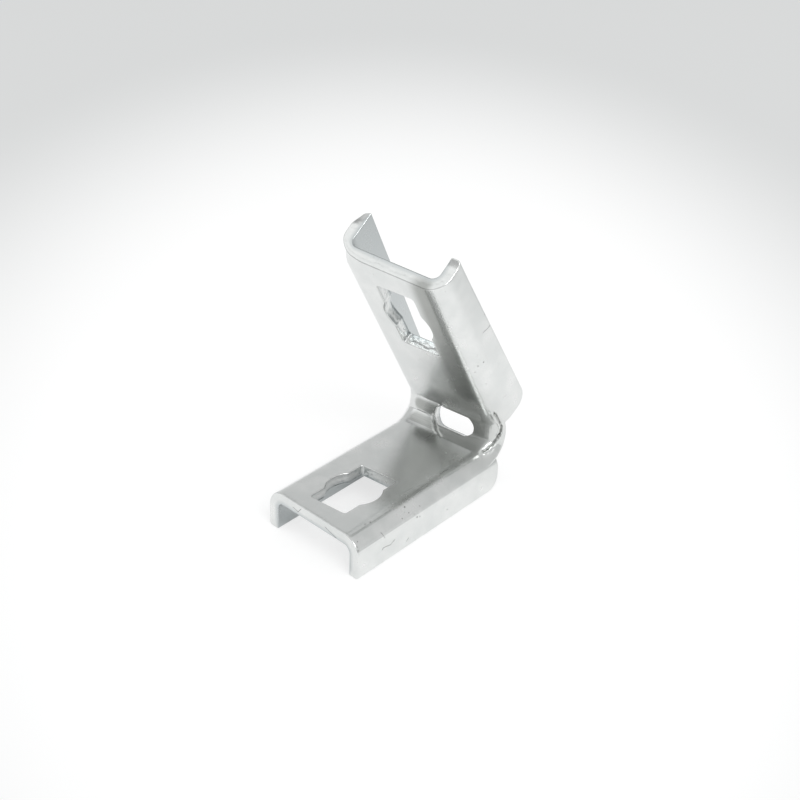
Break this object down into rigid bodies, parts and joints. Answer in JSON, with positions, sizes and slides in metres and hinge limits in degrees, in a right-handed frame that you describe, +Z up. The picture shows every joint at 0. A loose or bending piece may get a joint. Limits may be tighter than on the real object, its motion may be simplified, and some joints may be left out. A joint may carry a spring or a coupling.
{
  "type": "angle connector",
  "caption": "Thick plate folded to a channel with flanges, folded once more across its middle to a sixty degree V, with a punched hole in each leg and a slot across the fold.",
  "frame": {"origin": "middle of the footprint box, on the plane of the lower leg's free flange edges", "axes": "+Z up from the lower leg's free flange edges, +X along the lower leg from its free end to the fold, +Y across the channel"},
  "size_m": [0.0796, 0.04, 0.0926],
  "materials": {
    "zinc_plate": "bright zinc plating on steel, semi-gloss, with punched and sheared edges"
  },
  "bodies": {
    "root": {"angle_connector": "zinc_plate"}
  },
  "joints": []
}
